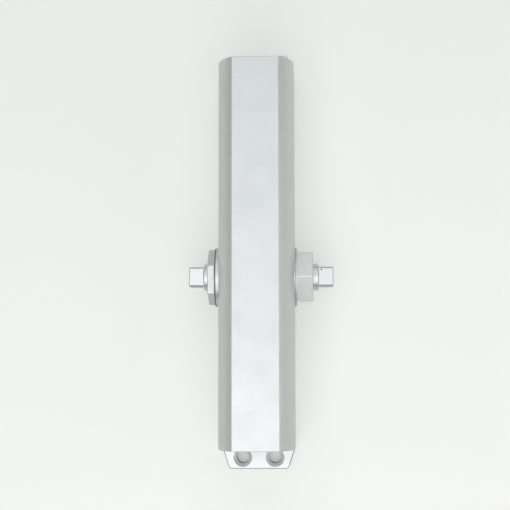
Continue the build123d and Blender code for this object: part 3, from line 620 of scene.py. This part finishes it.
# The grey of the right gasket's rim is partly painted light.
sprayed_fibre_and_painted_light = coat("sprayed_fibre_and_painted_light", (0.72, 0.73, 0.72), (0.55, 0.56, 0.55), roughness=0.5, flake=0.0004,
                     metallic=0.5)
wear(sprayed_fibre_and_painted_light, "right_cap_gasket")


# Two brass screws in the pressure end set the closing speed, each with its own sealing ring.
# A bent wire ring in a groove keeps each from being turned right out.
for valve in ("sweep", "latch"):
    place = joints[valve + "_valve_turn"]["pos_m"]
    brass = turned_metal(valve + "_turned_brass", (0.80, 0.62, 0.30), (0.62, 0.46, 0.20), "Y",
                         (place[0], 0, place[2]), roughness=0.28)
    wear(brass, valve + "_valve_screw")
    wear(nitrile, valve + "_valve_o_ring")
wear(small_steel, "valve_clips")


# The studio is a pale ground that the closer lies on, with broad soft lamps above it and all round it.
# The ground fades into the backdrop with distance, and its glow is painted stronger towards the near end,
# as painted light. The camera sees both paler than the light that they give, and gloss sees a part of that,
# so that the bright metal keeps its shades.
GROUND_SIZE = 3.0
GROUND_DROP = 0.0003
BACKDROP = (0.90, 0.915, 0.885)
ground_mesh = bpy.data.meshes.new("ground")
shape = bmesh.new()
bmesh.ops.create_grid(shape, x_segments=1, y_segments=1, size=GROUND_SIZE)
shape.to_mesh(ground_mesh)
shape.free()
ground = bpy.data.objects.new("ground", ground_mesh)
ground.location.z = -GROUND_DROP
bpy.context.collection.objects.link(ground)
ground_paint, ground_tree, ground_shader, ground_place = surface("pale_ground", 0.0)
ground_shader["Base Color"].default_value = (0.878, 0.867, 0.845, 1)
ground_shader["Roughness"].default_value = 0.9
ground_shader["Emission Color"].default_value = (0.98, 0.98, 0.96, 1)


def seen_share(tree, in_gloss):
    """1 for what the camera sees, also through glass, a share of it in gloss, and 0 for light."""
    rays = node(tree, "ShaderNodeLightPath").outputs
    direct = either(tree, rays["Is Camera Ray"], rays["Is Transmission Ray"])
    return either(tree, direct, math_node(tree, "MULTIPLY", rays["Is Glossy Ray"], in_gloss))


seen = seen_share(ground_tree, in_gloss=0.2)
along_ground = node(ground_tree, "ShaderNodeSeparateXYZ", Vector=ground_place).outputs["Y"]
# Painted light: the ground's glow grows towards the near end.
to_far = stretch(ground_tree, along_ground, low=-0.15, high=0.17)
glow = mix(ground_tree, "FLOAT", to_far, first=0.335, second=0.258)
feed(ground_tree, math_node(ground_tree, "MULTIPLY", seen, glow), ground_shader["Emission Strength"])
reach = node(ground_tree, "ShaderNodeVectorMath", operation="LENGTH")
feed(ground_tree, ground_place, reach.inputs[0])
far_off = stretch(ground_tree, reach.outputs["Value"], low=0.5, high=1.6)
horizon = node(ground_tree, "ShaderNodeEmission", Color=BACKDROP)
faded_ground = node(ground_tree, "ShaderNodeMixShader")
feed(ground_tree, math_node(ground_tree, "MULTIPLY", far_off, seen), faded_ground.inputs[0])
feed(ground_tree, ground_tree.nodes["Principled BSDF"].outputs[0], faded_ground.inputs[1])
feed(ground_tree, horizon.outputs[0], faded_ground.inputs[2])
feed(ground_tree, faded_ground.outputs[0], ground_tree.nodes["Material Output"].inputs["Surface"])
ground_mesh.materials.append(ground_paint)

world = bpy.data.worlds.new("studio")
bpy.context.scene.world = world
world.use_nodes = True
backdrop = world.node_tree.nodes["Background"].inputs
sky = seen_share(world.node_tree, in_gloss=0.03)
sky_colour = mix(world.node_tree, "RGBA", sky, first=(0.94, 1.0, 0.94), second=BACKDROP)
sky_strength = mix(world.node_tree, "FLOAT", sky, first=0.20, second=1.0)
feed(world.node_tree, sky_colour, backdrop["Color"])
feed(world.node_tree, sky_strength, backdrop["Strength"])


def soft_lamp(name, colour, power, size, place):
    """A square lamp that points at the origin."""
    lamp = bpy.data.lights.new(name, "AREA")
    lamp.shape = "SQUARE"
    lamp.size = size
    lamp.color = colour
    lamp.energy = power
    holder = bpy.data.objects.new(name, lamp)
    holder.location = place
    holder.rotation_euler = (-Vector(place)).to_track_quat("-Z", "Y").to_euler()
    bpy.context.collection.objects.link(holder)


soft_lamp("near_lamp", colour=(0.99, 0.99, 0.995), power=4.6, size=1.2, place=(0.0, -0.71, 1.05))
soft_lamp("top_lamp", colour=(0.95, 0.955, 1.0), power=2.88, size=1.0, place=(-0.19, -0.05, 1.4))
soft_lamp("far_high_lamp", colour=(0.82, 0.91, 1.0), power=1.08, size=1.2, place=(0.0, 0.55, 1.2))
soft_lamp("far_lamp", colour=(0.95, 1.0, 0.98), power=2.6, size=1.2, place=(0.0, 1.0, 0.8))
soft_lamp("left_lamp", colour=(0.92, 1.0, 0.79), power=1.1, size=1.0, place=(-1.3, 0.0, 0.7))
soft_lamp("right_lamp", colour=(0.90, 1.0, 0.93), power=2.4, size=1.0, place=(1.3, 0.0, 0.7))

# The camera looks almost straight down, from a little to the right and towards the near end.
camera = bpy.data.objects.new("camera", bpy.data.cameras.new("camera"))
camera.data.sensor_width = 36
camera.data.lens = 78.63
camera.location = (0.023837, -0.045717, 0.673103)
camera.rotation_euler = [math.radians(angle) for angle in (5.2, 2.248, -0.089)]
bpy.context.collection.objects.link(camera)
bpy.context.scene.camera = camera
bpy.context.scene.view_settings.view_transform = "Standard"
